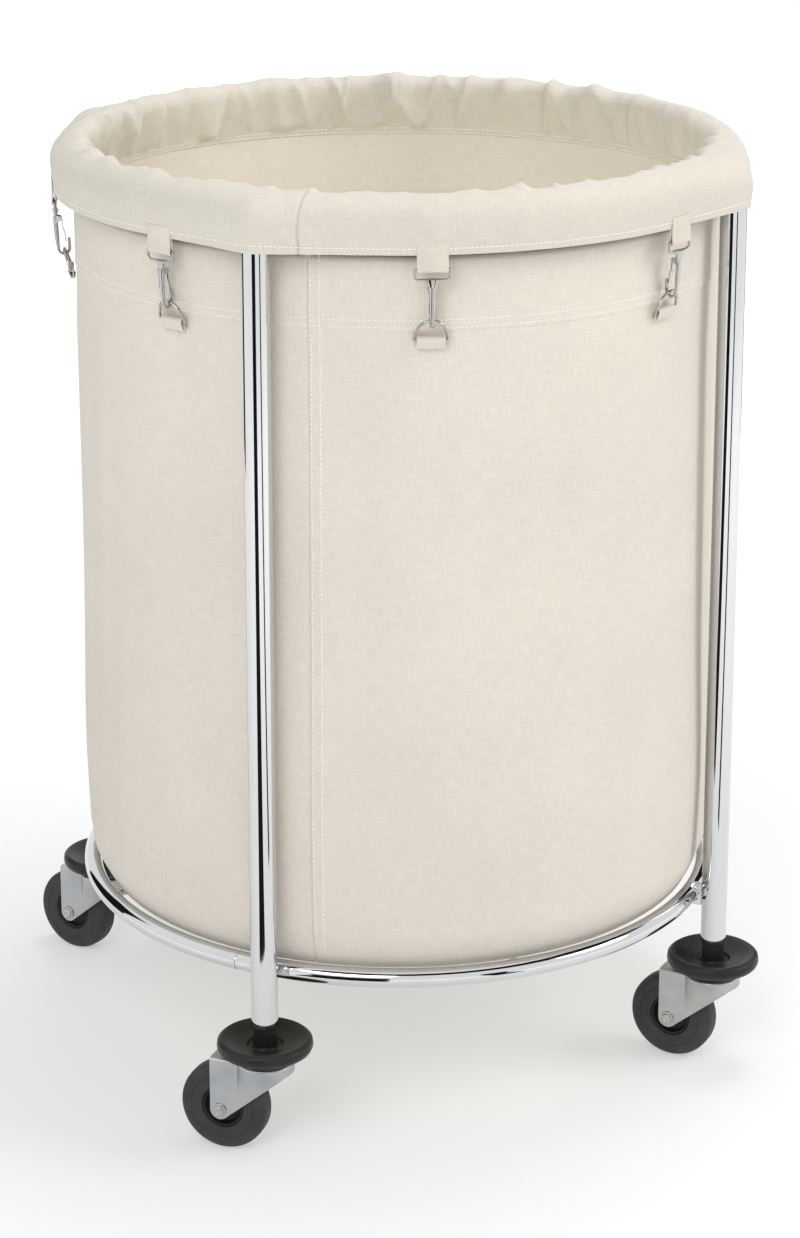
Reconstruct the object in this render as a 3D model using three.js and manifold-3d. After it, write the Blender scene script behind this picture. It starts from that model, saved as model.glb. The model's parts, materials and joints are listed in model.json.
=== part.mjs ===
// Round laundry cart: four tube posts and two ring tubes carry a canvas liner
// whose top is folded over the upper ring and clipped down with spring snaps.
// Each post stands on a swivel caster under a round rubber bumper.
// Millimetres, +Z up. The origin is on the floor under the centre of the rings.
// The cart's front is -Y, and angles round the cart are counted from there towards +X.

import * as THREE from "three";
import { mergeVertices } from "three/addons/utils/BufferGeometryUtils.js";
import Module from "manifold-3d";

const wasm = await Module();
wasm.setup();

// ---------------------------------------------------------------- driving dimensions

const GAP = 0.3; // clearance between pieces that touch
const ROUND_SIDES = 40; // facets round the rings and the liner

// Frame
const POST_CIRCLE_R = 296; // axis of each post from the cart's centre
const POST_R = 11.1;
const POST_BORE_R = 9.7;
const POST_BOTTOM = 114;
const POST_TOP = 791;
const POST_CAP = 3;
const RING_R = 274; // centre line of both rings
const RING_TUBE_R = 8;
const LOWER_RING_Z = 156;
const UPPER_RING_Z = 800;
const LUG_WIDTH = 4;
const LUG_HEIGHT = 20;
const ROD_R = 3; // the crossed rods under the liner
const ROD_SPLIT = 6.3; // one rod lies this far under the other

// Liner
const LINER_R = 275;
const BAND_STEP = 1; // the sewn band stands out this much
const BAND_BOTTOM = 703;
const LINER_TOP = 761.7;
const FABRIC = 2;
const FLOOR_R = 259.5;
const FLOOR_Z = 159.6;
const FLOOR_THICK = 2.6;

// Cuff, folded over the upper ring and outside the posts
const CUFF_R = 310.4; // where it passes over a post
const CUFF_REST_R = 294; // between the posts
const DRAPE_START_R = 279; // inside this the cuff keeps round
const DRAPE_WIDTH = 25;
const CUFF_BOTTOM = 766.8;
const CUFF_THICK = 2.3;
const ROLL_R = 11.2; // fabric's outer radius round the ring tube
const STRAP_WIDTH = 24.4;
const TAB_WIDTH = 22.6;
const TAB_LENGTH = 11;
const WEB_THICK = 1.4;

// Snaps
const SNAP_COUNT = 8;
const SNAP_TURN = -18; // the first snap's angle, degrees
const EYE_R = 292; // the eye's top bar, from the cart's centre
const EYE_Z = 755.3;
const EYE_WIDTH = 29.4;
const EYE_DROP = 8.3; // from the eye's top bar to its bottom bar
const EYE_BAR = 2;
const EYE_DEPTH = 2.4;
const HOOK_TILT = 3; // the snap leans in at its foot, degrees
const HOOK_WIRE_R = 1.6;
const HOOK_BEND_R = 4.8;
const HOOK_LENGTH = 42; // from the eye's top bar to the bend's centre
const HOOK_TIP = 9; // the free leg rises this far above the bend's centre
const GATE_TOP = 16;
const GATE_IN = 3.6;
const GATE_END = 36.4;
const GATE_HALF = 0.8;
const GATE_WIDTH = 4.4;
const EAR_THICK = 1;
const DEE_WIRE_R = 1.3;
const DEE_HALF_WIDTH = 13.2;
const DEE_HEIGHT = 17.1;
const DEE_BAR_R = 279.7;
const DEE_BAR_Z = 697;
const DEE_TILT = 18; // the D-ring leans out at its top, degrees

// Casters
const WHEEL_R = 38.1;
const WHEEL_SIDES = 20;
const WHEEL_HALF = 11;
const CASTER_LEAD = 35.2; // the axle trails the swivel axis by this much
const FORK_TOP = 84.2;
const FORK_SHEET = 2.4;
const FORK_DISC_R = 24.4;
const FORK_LEG_V = 14.2; // middle of a leg's sheet from the wheel's centre plane
const FORK_END_R = 8.4;
const FORK_CREASE_U = 17.3;
const KINGPIN_R = 5.6;
const KINGPIN_HOLE_R = 6.1;
const RACE_R = 22.5;
const RACE_TOP = 90.3;
const BUMPER_R = 40;
const BUMPER_BOTTOM = 90.6;
const BUMPER_TOP = 104;
const NECK_R = 9.4;
const NECK_TOP = 136;
const STEM_R = 6;
const STEM_BORE_R = 6.4;
const STEM_TOP = 141;
const HUB_R = 17.7;
const AXLE_R = 3.9;
const AXLE_BORE_R = 4.3;

// Each post's place round the cart, and the way its caster trails, in degrees from +X.
const CORNERS = [
  { name: "front_left", at: -45, trail: 136.8 },
  { name: "front_right", at: 45, trail: 128.8 },
  { name: "back_right", at: 135, trail: 130.8 },
  { name: "back_left", at: -135, trail: 123.8 },
];

// ---------------------------------------------------------------- materials

function finish(color, roughness, metalness) {
  return () => new THREE.MeshStandardMaterial({ color, roughness, metalness });
}

const chrome = finish(0xd8dce0, 0.12, 1);
const zincPlate = finish(0xc2ccd2, 0.35, 0.9);
const nickel = finish(0xc9ccd0, 0.2, 1);
const blackRubber = finish(0x3a3838, 0.6, 0);
const tyreRubber = finish(0x45434a, 0.7, 0);
const hubPlastic = finish(0x232226, 0.5, 0);
const canvas = finish(0xe6e0d2, 0.9, 0);

// ---------------------------------------------------------------- helpers

const radians = THREE.MathUtils.degToRad;

// A geometry as a manifold-3d solid, its shared vertices merged.
function solid(geometry) {
  const bare = new THREE.BufferGeometry();
  bare.setAttribute("position", geometry.getAttribute("position").clone());
  if (geometry.index) bare.setIndex(geometry.index.clone());
  const merged = mergeVertices(bare, 1e-3);
  return new wasm.Manifold(
    new wasm.Mesh({
      numProp: 3,
      vertProperties: new Float32Array(merged.getAttribute("position").array),
      triVerts: new Uint32Array(merged.index.array),
    }),
  );
}

function geometryOf(body) {
  const mesh = body.getMesh();
  const geometry = new THREE.BufferGeometry();
  const positions = new Float32Array(mesh.numVert * 3);
  for (let i = 0; i < mesh.numVert; i++) {
    const from = i * mesh.numProp;
    positions.set(mesh.vertProperties.subarray(from, from + 3), i * 3);
  }
  geometry.setAttribute("position", new THREE.BufferAttribute(positions, 3));
  geometry.setIndex(new THREE.BufferAttribute(new Uint32Array(mesh.triVerts), 1));
  geometry.computeVertexNormals();
  return geometry;
}

function joined(geometries) {
  return geometryOf(geometries.map(solid).reduce((a, b) => a.add(b)));
}

function cut(geometry, tools) {
  return geometryOf(tools.map(solid).reduce((a, b) => a.subtract(b), solid(geometry)));
}

// A profile of [radius, height] points turned round +Z. A profile that begins and ends
// on the axis is solid there; any other is closed on itself.
function turned(profile, sides) {
  const points = profile.map(([r, h]) => new THREE.Vector2(r, h));
  const first = points[0];
  if (first.x > 0) points.push(first.clone());
  return new THREE.LatheGeometry(points, sides).rotateX(Math.PI / 2);
}

// The same, round the wheel's axle, which is +Y, with a flat of the rim straight down.
function turnedOnAxle(profile, sides) {
  const upright = turned(profile, sides);
  return upright.rotateZ(Math.PI / sides).rotateX(-Math.PI / 2);
}

// An outline drawn in the upright plane through the cart's axis, as [outwards, up],
// given a width along +X. Local outwards is -Y.
function acrossRadial(shape, width, curveSegments = 4) {
  const options = { depth: width, bevelEnabled: false, curveSegments };
  const toLocal = new THREE.Matrix4().makeBasis(
    new THREE.Vector3(0, -1, 0),
    new THREE.Vector3(0, 0, 1),
    new THREE.Vector3(-1, 0, 0),
  );
  const geometry = new THREE.ExtrudeGeometry(shape, options);
  return geometry.translate(0, 0, -width / 2).applyMatrix4(toLocal);
}

function outline(points) {
  return new THREE.Shape(points.map(([a, b]) => new THREE.Vector2(a, b)));
}

function roundHole(x, y, radius) {
  return new THREE.Path().absarc(x, y, radius, 0, 2 * Math.PI, true);
}

function box(sizeX, sizeY, sizeZ, x, y, z) {
  return new THREE.BoxGeometry(sizeX, sizeY, sizeZ).translate(x, y, z);
}

const cart = new THREE.Group();

function add(parent, name, geometry, material) {
  const mesh = new THREE.Mesh(geometry, material());
  mesh.name = name;
  parent.add(mesh);
  return mesh;
}

function groupAt(parent, x, y, z) {
  const group = new THREE.Group();
  group.position.set(x, y, z);
  parent.add(group);
  return group;
}

// A group turned so that its -Y points outwards at an angle round the cart.
function facing(angle) {
  const group = groupAt(cart, 0, 0, 0);
  group.rotation.z = radians(angle);
  return group;
}

// ---------------------------------------------------------------- frame

// A ring tube with a welded lug reaching each post.
function ringWithLugs(z, lugDrop) {
  const tube = new THREE.TorusGeometry(RING_R, RING_TUBE_R, 8, ROUND_SIDES).translate(0, 0, z);
  const reach = POST_CIRCLE_R - POST_R - GAP - RING_R;
  const lugs = CORNERS.map((corner) => {
    const lug = box(LUG_WIDTH, reach, LUG_HEIGHT, 0, -RING_R - reach / 2, z - lugDrop);
    return lug.rotateZ(radians(corner.at));
  });
  return joined([tube, ...lugs]);
}

// A post is a tube with a closed, slightly rounded top and an open foot for the stem.
function post() {
  const edge = 4;
  return turned(
    [
      [0, POST_TOP - POST_CAP],
      [POST_BORE_R, POST_TOP - POST_CAP],
      [POST_BORE_R, POST_BOTTOM],
      [POST_R, POST_BOTTOM],
      [POST_R, POST_TOP - edge],
      [POST_R - edge, POST_TOP],
      [0, POST_TOP],
    ],
    16,
  );
}

// A rod across the lower ring; its ends meet the ring tube's inner side.
function rod(z) {
  const nearest = Math.max(0, Math.abs(z - LOWER_RING_Z) - ROD_R);
  const half = RING_R - Math.sqrt(RING_TUBE_R ** 2 - nearest ** 2) - GAP;
  return new THREE.CylinderGeometry(ROD_R, ROD_R, 2 * half, 8).translate(0, 0, z);
}

add(cart, "top_ring", ringWithLugs(UPPER_RING_Z, LUG_HEIGHT / 2 + 1), chrome);
add(cart, "bottom_ring", ringWithLugs(LOWER_RING_Z, 0), chrome);
add(cart, "base_rod_lower", rod(LOWER_RING_Z - ROD_SPLIT), chrome);
const upperRod = rod(LOWER_RING_Z).rotateZ(Math.PI / 2);
add(cart, "base_rod_upper", upperRod, chrome);

// ---------------------------------------------------------------- casters

// Rubber bumper: a dished round pad whose neck plugs the post's foot.
function bumper() {
  return turned(
    [
      [STEM_BORE_R, BUMPER_BOTTOM],
      [33, BUMPER_BOTTOM],
      [38.4, BUMPER_BOTTOM + 2.9],
      [BUMPER_R, BUMPER_BOTTOM + 7.2],
      [38.2, BUMPER_TOP - 2],
      [33.5, BUMPER_TOP],
      [24, BUMPER_TOP - 2.8],
      [14.6, BUMPER_TOP - 6.6],
      [NECK_R, BUMPER_TOP - 8.8],
      [NECK_R, NECK_TOP],
      [STEM_BORE_R, NECK_TOP],
    ],
    16,
  );
}

// The stem, the upper race and the kingpin's head under the fork, as one riveted piece.
function casterStem() {
  const headTop = FORK_TOP - FORK_SHEET - GAP;
  const raceBottom = FORK_TOP + GAP;
  return turned(
    [
      [0, headTop - 3],
      [8, headTop - 3],
      [9, headTop],
      [KINGPIN_R, headTop],
      [KINGPIN_R, raceBottom],
      [RACE_R, raceBottom + 1],
      [RACE_R, RACE_TOP - 1.5],
      [RACE_R - 1.5, RACE_TOP],
      [STEM_R, RACE_TOP],
      [STEM_R, STEM_TOP],
      [0, STEM_TOP],
    ],
    12,
  );
}

// One leg of the fork: flat beside the wheel, then bent out to the round top plate.
// side is +1 or -1. The leg is a sheet between a front and a back surface.
function forkLeg(side) {
  const rear = CASTER_LEAD + FORK_END_R;
  const noseU = -21;
  const noseZ = 73.5;
  const slopeStart = CASTER_LEAD - FORK_END_R * 0.78;
  const slopeStartZ = WHEEL_R - FORK_END_R * Math.sqrt(1 - 0.78 ** 2);
  const stations = [
    rear,
    CASTER_LEAD + 5.5,
    CASTER_LEAD,
    slopeStart,
    FORK_CREASE_U,
    6,
    -8,
    noseU,
  ];
  const bottomAt = (u) => {
    if (u >= slopeStart) {
      return WHEEL_R - Math.sqrt(Math.max(0, FORK_END_R ** 2 - (u - CASTER_LEAD) ** 2));
    }
    const part = (slopeStart - u) / (slopeStart - noseU);
    return slopeStartZ + part * (noseZ - slopeStartZ);
  };
  const discV = (u) => Math.sqrt((FORK_DISC_R - 1.4) ** 2 - u ** 2);
  const topV = (u) => (u > FORK_CREASE_U - 0.1 ? FORK_LEG_V : discV(u));
  const rows = 2;
  const positions = [];
  for (const face of [1, -1]) {
    for (const u of stations) {
      for (let row = 0; row <= rows; row++) {
        const t = row / rows;
        const z = bottomAt(u) + t * (FORK_TOP - bottomAt(u));
        const foot = Math.min(FORK_LEG_V, topV(u));
        const v = foot + t * (topV(u) - foot) + (face * FORK_SHEET) / 2;
        positions.push(u, side * v, z);
      }
    }
  }
  const across = rows + 1;
  const sheet = stations.length * across;
  const corner = (face, i, row) => face * sheet + i * across + row;
  const triangles = [];
  const quad = (a, b, c, d) => {
    if (side > 0) triangles.push(a, b, c, a, c, d);
    else triangles.push(a, c, b, a, d, c);
  };
  for (let i = 0; i < stations.length - 1; i++) {
    for (let row = 0; row < rows; row++) {
      quad(corner(0, i, row), corner(0, i + 1, row), corner(0, i + 1, row + 1), corner(0, i, row + 1));
      quad(corner(1, i, row), corner(1, i, row + 1), corner(1, i + 1, row + 1), corner(1, i + 1, row));
    }
    quad(corner(0, i, 0), corner(1, i, 0), corner(1, i + 1, 0), corner(0, i + 1, 0));
    quad(corner(0, i, rows), corner(0, i + 1, rows), corner(1, i + 1, rows), corner(1, i, rows));
  }
  const last = stations.length - 1;
  for (let row = 0; row < rows; row++) {
    quad(corner(0, 0, row), corner(0, 0, row + 1), corner(1, 0, row + 1), corner(1, 0, row));
    quad(corner(0, last, row), corner(1, last, row), corner(1, last, row + 1), corner(0, last, row + 1));
  }
  const leg = new THREE.BufferGeometry();
  leg.setAttribute("position", new THREE.Float32BufferAttribute(positions, 3));
  leg.setIndex(triangles);
  return leg;
}

function fork() {
  const rear = CASTER_LEAD + FORK_END_R;
  const half = FORK_LEG_V + FORK_SHEET / 2;
  const tangentAt = Math.asin(half / FORK_DISC_R);
  const plateShape = new THREE.Shape();
  plateShape.moveTo(rear, -half);
  plateShape.lineTo(rear, half);
  plateShape.absarc(0, 0, FORK_DISC_R, tangentAt, 2 * Math.PI - tangentAt, false);
  plateShape.holes.push(roundHole(0, 0, KINGPIN_HOLE_R));
  const options = { depth: FORK_SHEET, bevelEnabled: false, curveSegments: 7 };
  const plate = new THREE.ExtrudeGeometry(plateShape, options);
  plate.translate(0, 0, FORK_TOP - FORK_SHEET);
  const axleHole = new THREE.CylinderGeometry(AXLE_BORE_R, AXLE_BORE_R, 60, 8);
  axleHole.translate(CASTER_LEAD, 0, WHEEL_R);
  return cut(joined([plate, forkLeg(1), forkLeg(-1)]), [axleHole]);
}

function tyre() {
  const rim = WHEEL_R / Math.cos(Math.PI / WHEEL_SIDES);
  const seat = HUB_R + GAP;
  return turnedOnAxle(
    [
      [seat, -WHEEL_HALF + 1],
      [rim - 7, -WHEEL_HALF],
      [rim - 2, -WHEEL_HALF + 2],
      [rim, -WHEEL_HALF + 4.4],
      [rim, WHEEL_HALF - 4.4],
      [rim - 2, WHEEL_HALF - 2],
      [rim - 7, WHEEL_HALF],
      [seat, WHEEL_HALF - 1],
    ],
    WHEEL_SIDES,
  );
}

// Hub: a rim and a bearing boss joined by a web set back from both sides.
function hub() {
  const boss = 7;
  const bossHalf = FORK_LEG_V - FORK_SHEET / 2 - GAP;
  const web = 4;
  const rimHalf = WHEEL_HALF - 1.8;
  return turnedOnAxle(
    [
      [AXLE_BORE_R, -bossHalf],
      [boss, -bossHalf],
      [boss, -web],
      [HUB_R - 2.2, -web],
      [HUB_R, -rimHalf],
      [HUB_R, rimHalf],
      [HUB_R - 2.2, web],
      [boss, web],
      [boss, bossHalf],
      [AXLE_BORE_R, bossHalf],
    ],
    12,
  );
}

// Axle bolt with its round head on the +Y side and its nut on the other.
function axleBolt() {
  const sheetFace = FORK_LEG_V + FORK_SHEET / 2 + GAP;
  const shaft = new THREE.CylinderGeometry(AXLE_R, AXLE_R, 2 * sheetFace + 2, 8);
  const head = new THREE.CylinderGeometry(5, 6.2, 3.6, 8).translate(0, sheetFace + 1.8, 0);
  const nut = new THREE.CylinderGeometry(6.6, 6.6, 4.4, 6).translate(0, -sheetFace - 2.2, 0);
  return joined([shaft, head, nut]);
}

for (const corner of CORNERS) {
  const place = facing(corner.at);
  const foot = groupAt(place, 0, -POST_CIRCLE_R, 0);
  add(foot, `post_${corner.name}`, post(), chrome);
  add(foot, `bumper_${corner.name}`, bumper(), blackRubber);
  add(foot, `caster_stem_${corner.name}`, casterStem(), zincPlate);
  const swivel = groupAt(foot, 0, 0, 0);
  swivel.rotation.z = radians(corner.trail - corner.at);
  add(swivel, `fork_${corner.name}`, fork(), zincPlate);
  const wheel = groupAt(swivel, CASTER_LEAD, 0, WHEEL_R);
  add(wheel, `tyre_${corner.name}`, tyre(), tyreRubber);
  add(wheel, `hub_${corner.name}`, hub(), hubPlastic);
  add(wheel, `axle_bolt_${corner.name}`, axleBolt(), zincPlate);
}

// ---------------------------------------------------------------- fabric

// A webbing loop round a bar, with two legs sewn together above or below it.
function webLoop(width, barR, barZ, boreR, endZ, lean) {
  const outer = boreR + WEB_THICK;
  const way = Math.sign(endZ - barZ);
  const leg = way * WEB_THICK;
  const start = way > 0 ? Math.PI : 0;
  const shape = new THREE.Shape();
  shape.moveTo(barR - leg + lean, endZ);
  shape.lineTo(barR - leg + lean * 0.4, barZ + way * (outer + 3));
  shape.absarc(barR, barZ, outer, start, start + Math.PI, false);
  shape.lineTo(barR + leg + lean * 0.4, barZ + way * (outer + 3));
  shape.lineTo(barR + leg + lean, endZ);
  shape.closePath();
  shape.holes.push(roundHole(barR, barZ, boreR));
  return acrossRadial(shape, width, 4);
}

function roundTheCart(geometry) {
  return Array.from({ length: SNAP_COUNT }, (_, i) =>
    geometry.clone().rotateZ(radians(SNAP_TURN + (360 / SNAP_COUNT) * i)),
  );
}

// A profile line and its copy set in by a thickness, closed into one outline.
// The line runs so that the fabric's inner side is on its left.
function sheetProfile(line, thickness) {
  const inner = line.map(([r, z], i) => {
    const [r0, z0] = line[Math.max(0, i - 1)];
    const [r1, z1] = line[Math.min(line.length - 1, i + 1)];
    const length = Math.hypot(r1 - r0, z1 - z0);
    return [r - ((z1 - z0) / length) * thickness, z + ((r1 - r0) / length) * thickness];
  });
  return [...line, ...inner.reverse()];
}

function linerWall() {
  const wall = turned(
    sheetProfile(
      [
        [262.4, 161],
        [268.5, 166.5],
        [273, 177],
        [LINER_R, 195],
        [LINER_R, BAND_BOTTOM - 1],
        [LINER_R + BAND_STEP, BAND_BOTTOM],
        [LINER_R + BAND_STEP, LINER_TOP],
      ],
      FABRIC,
    ),
    ROUND_SIDES,
  );
  const bore = DEE_WIRE_R + 0.35;
  const tab = webLoop(TAB_WIDTH, DEE_BAR_R, DEE_BAR_Z, bore, DEE_BAR_Z - TAB_LENGTH, -4.6);
  return joined([wall, ...roundTheCart(tab)]);
}

function linerFloor() {
  return turned(
    [
      [0, FLOOR_Z],
      [FLOOR_R, FLOOR_Z],
      [FLOOR_R, FLOOR_Z + FLOOR_THICK],
      [0, FLOOR_Z + FLOOR_THICK],
    ],
    ROUND_SIDES,
  );
}

// The cuff is pushed out over each post and runs straight from there to its rest radius.
function drapedOverPosts(geometry) {
  const reach = Math.acos(CUFF_REST_R / CUFF_R);
  const position = geometry.getAttribute("position");
  for (let i = 0; i < position.count; i++) {
    const x = position.getX(i);
    const y = position.getY(i);
    const r = Math.hypot(x, y);
    const quarter = THREE.MathUtils.euclideanModulo(Math.atan2(y, x), Math.PI / 2);
    const fromPost = Math.abs(quarter - Math.PI / 4);
    const draped = CUFF_REST_R / Math.cos(Math.max(0, reach - fromPost));
    const share = THREE.MathUtils.clamp((r - DRAPE_START_R) / DRAPE_WIDTH, 0, 1);
    const scale = 1 - ((CUFF_R - draped) * share) / r;
    position.setXY(i, x * scale, y * scale);
  }
  return geometry;
}

// The cuff rises inside the upper ring, rolls over it and falls outside the posts.
function cuff() {
  const roll = [190, 145, 105, 70].map((angle) => [
    RING_R + ROLL_R * Math.cos(radians(angle)),
    UPPER_RING_Z + ROLL_R * Math.sin(radians(angle)),
  ]);
  const line = [
    [LINER_R + BAND_STEP - FABRIC, LINER_TOP + GAP],
    [267.5, 776],
    ...roll,
    [290, 808.4],
    [301.5, 802.6],
    [308, 794.5],
    [CUFF_R, 786],
    [CUFF_R, CUFF_BOTTOM],
  ].reverse();
  const shell = drapedOverPosts(turned(sheetProfile(line, CUFF_THICK), ROUND_SIDES));
  const bore = EYE_BAR * 0.75 + 0.4;
  const strap = webLoop(STRAP_WIDTH, EYE_R, EYE_Z, bore, CUFF_BOTTOM + 8, 0.9);
  return joined([shell, ...roundTheCart(strap)]);
}

add(cart, "liner_wall", linerWall(), canvas);
add(cart, "liner_floor", linerFloor(), canvas);
add(cart, "liner_cuff", cuff(), canvas);

// ---------------------------------------------------------------- spring snaps

// Round wire bent along points given as [outwards, up] in the snap's upright plane.
function bentWire(points, radius, steps) {
  const path = new THREE.CatmullRomCurve3(
    points.map(([out, up]) => new THREE.Vector3(0, -out, up)),
    false,
    "centripetal",
  );
  const section = new THREE.Shape().absarc(0, 0, radius, 0, 2 * Math.PI, false);
  return new THREE.ExtrudeGeometry(section, { steps, extrudePath: path, curveSegments: 3 });
}

function eye() {
  const halfWidth = EYE_WIDTH / 2;
  const top = EYE_BAR / 2;
  const bottom = -EYE_DROP - EYE_BAR / 2;
  const chamfer = 1.2;
  const frame = outline([
    [-halfWidth + chamfer, bottom],
    [halfWidth - chamfer, bottom],
    [halfWidth, bottom + chamfer],
    [halfWidth, top],
    [-halfWidth, top],
    [-halfWidth, bottom + chamfer],
  ]);
  const window = outline([
    [-halfWidth + EYE_BAR, bottom + EYE_BAR],
    [-halfWidth + EYE_BAR, top - EYE_BAR],
    [halfWidth - EYE_BAR, top - EYE_BAR],
    [halfWidth - EYE_BAR, bottom + EYE_BAR],
  ]);
  frame.holes.push(window);
  const options = { depth: EYE_DEPTH, bevelEnabled: false };
  const plate = new THREE.ExtrudeGeometry(frame, options);
  return plate.translate(0, 0, -EYE_DEPTH / 2).rotateX(Math.PI / 2);
}

function snapHook() {
  const bend = [0, 60, 120, 180].map((angle) => [
    -HOOK_BEND_R + HOOK_BEND_R * Math.cos(radians(angle)),
    -HOOK_LENGTH - HOOK_BEND_R * Math.sin(radians(angle)),
  ]);
  const wirePoints = [
    [0, -EYE_DROP],
    [0.5, -EYE_DROP - 14],
    [0.2, -HOOK_LENGTH + 9],
    ...bend,
    [-2 * HOOK_BEND_R, -HOOK_LENGTH + HOOK_TIP],
  ];
  const wire = bentWire(wirePoints, HOOK_WIRE_R, 14);
  const flare = new THREE.CylinderGeometry(4.2, HOOK_WIRE_R * 0.9, 9, 6);
  flare.rotateX(Math.PI / 2).scale(1, 0.42, 1).translate(0, 0, -EYE_DROP - 4.2);
  const earX = GATE_WIDTH / 2 + GAP + EAR_THICK / 2;
  const ears = [-earX, earX].map((x) =>
    box(EAR_THICK, GATE_IN + 1.8, 3.6, x, GATE_IN / 2 + 0.2, -GATE_TOP),
  );
  const bridge = box(2 * earX + EAR_THICK, 1.6, 3.6, 0, -0.1, -GATE_TOP);
  return joined([eye(), flare, wire, bridge, ...ears]);
}

// The gate hangs from its ears and closes against the inner side of the free leg.
function snapGate() {
  const endOut = -2 * HOOK_BEND_R + HOOK_WIRE_R + GATE_HALF + GAP;
  const knuckle = 1.5;
  const shape = outline([
    [-GATE_IN - knuckle, -GATE_TOP + 0.6],
    [-GATE_IN - knuckle, -GATE_TOP - 0.6],
    [endOut - GATE_HALF, -GATE_END],
    [endOut + GATE_HALF, -GATE_END],
    [-GATE_IN + GATE_HALF, -GATE_TOP - knuckle],
    [-GATE_IN + knuckle, -GATE_TOP],
    [-GATE_IN, -GATE_TOP + knuckle],
  ]);
  return acrossRadial(shape, GATE_WIDTH);
}

// D-ring of round wire: a straight bar in its webbing tab and an arch over it.
function deeRing() {
  const arch = (half, height, foot) => {
    const points = [];
    const segments = 8;
    for (let i = 0; i <= segments; i++) {
      const angle = (Math.PI * i) / segments;
      points.push([half * Math.cos(angle), foot + (height - foot) * Math.sin(angle)]);
    }
    return points;
  };
  const inset = DEE_WIRE_R * 0.45;
  const side = DEE_WIRE_R - inset;
  const shape = outline(arch(DEE_HALF_WIDTH + side, DEE_HEIGHT + side, -side));
  shape.holes.push(outline(arch(DEE_HALF_WIDTH - side, DEE_HEIGHT - side, side).reverse()));
  const options = {
    depth: 2 * (DEE_WIRE_R - inset),
    bevelEnabled: true,
    bevelThickness: inset,
    bevelSize: inset,
    bevelSegments: 1,
  };
  const ring = new THREE.ExtrudeGeometry(shape, options);
  return ring.translate(0, 0, -(DEE_WIRE_R - inset)).rotateX(Math.PI / 2);
}

for (let i = 0; i < SNAP_COUNT; i++) {
  const place = facing(SNAP_TURN + (360 / SNAP_COUNT) * i);
  const hung = groupAt(place, 0, -EYE_R, EYE_Z);
  hung.rotation.x = radians(HOOK_TILT);
  add(hung, `snap_hook_${i + 1}`, snapHook(), nickel);
  add(hung, `snap_gate_${i + 1}`, snapGate(), nickel);
  const sewn = groupAt(place, 0, -DEE_BAR_R, DEE_BAR_Z);
  sewn.rotation.x = radians(DEE_TILT);
  add(sewn, `dee_ring_${i + 1}`, deeRing(), nickel);
}

export default cart;
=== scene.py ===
"""Laundry cart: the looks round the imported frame. Lengths are millimetres unless a name says otherwise.

Angles round the cart are degrees from its front, -Y, towards +X, as in the frame's own description.
"""

import json
import math

import bpy
from mathutils import Matrix, Vector, noise


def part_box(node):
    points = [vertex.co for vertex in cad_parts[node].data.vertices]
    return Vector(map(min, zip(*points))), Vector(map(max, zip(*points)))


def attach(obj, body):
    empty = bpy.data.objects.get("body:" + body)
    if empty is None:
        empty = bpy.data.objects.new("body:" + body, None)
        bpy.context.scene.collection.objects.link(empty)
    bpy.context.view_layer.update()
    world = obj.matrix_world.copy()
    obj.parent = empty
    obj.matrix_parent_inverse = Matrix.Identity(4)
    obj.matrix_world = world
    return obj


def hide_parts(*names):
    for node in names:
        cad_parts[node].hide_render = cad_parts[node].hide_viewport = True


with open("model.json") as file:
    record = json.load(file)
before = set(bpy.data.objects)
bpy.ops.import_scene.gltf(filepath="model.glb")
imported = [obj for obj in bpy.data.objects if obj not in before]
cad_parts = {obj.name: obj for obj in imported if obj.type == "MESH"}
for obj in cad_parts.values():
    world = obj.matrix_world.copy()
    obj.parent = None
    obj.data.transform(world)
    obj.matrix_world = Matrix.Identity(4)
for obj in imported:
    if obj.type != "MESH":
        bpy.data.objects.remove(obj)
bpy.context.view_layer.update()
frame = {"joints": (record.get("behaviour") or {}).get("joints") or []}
joints = {joint["name"]: joint for joint in frame["joints"]}

MM = 0.001
ROOT = "frame"
CORNERS = ("front_left", "front_right", "back_right", "back_left")

# ------------------------------------------------------------------ sizes

# Frame
POST_R = 11.1
POST_WALL = 1.4
RING_R = 274
RING_TUBE_R = 8
LUG_THICK = 4
LUG_HEIGHT = 20
ROD_R = 3

# Casters
WHEEL_R = 38.1
WHEEL_HALF = 11
HUB_R = 17.7
FORK_TOP = 84.2
FORK_SHEET = 2.4
FORK_DISC_R = 24.4
FORK_HALF = 15.4
FORK_END_R = 8.4
FORK_BEND_R = 2.6
RACE_R = 22.5
RACE_TOP = 90.3
BUMPER_R = 40
BUMPER_BOTTOM = 90.6
BUMPER_TOP = 104
NECK_R = 9.4
NECK_TOP = 136
STEM_R = 6

# Liner
LINER_R = 275
LINER_BOTTOM = 161
LINER_EDGE_R = 262.5
BAND_BOTTOM = 703
BAND_STEP = 1
HEM_Z = 762
CLOTH = 1.3
FLOOR_R = 259.4
FLOOR_Z = 160.8
SEAM_ANGLE = -38
ROLL_R = 11.2
CUFF_R = 310.4
CUFF_REST_R = 294
CUFF_BOTTOM = 766.8
CUFF_CLOTH = 1.8

# Snaps
SNAP_COUNT = 8
EYE_R = 292
EYE_Z = 755.3
EYE_HALF_WIDTH = 13.7
EYE_DROP = 8.3
EYE_WIRE_R = 1.1
HOOK_TILT = 3
HOOK_WIRE_R = 1.6
HOOK_BEND_R = 4.8
HOOK_LENGTH = 42
HOOK_TIP = 9
GATE_TOP = 16
GATE_IN = 3.6
GATE_END = 36.4
GATE_WIDTH = 4.4
DEE_WIRE_R = 1.3
DEE_HALF_WIDTH = 13.2
DEE_HEIGHT = 17.1
DEE_BAR_R = 279.7
DEE_BAR_Z = 697
DEE_TILT = 18
STRAP_WIDTH = 24.4
TAB_WIDTH = 22.6

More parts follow.
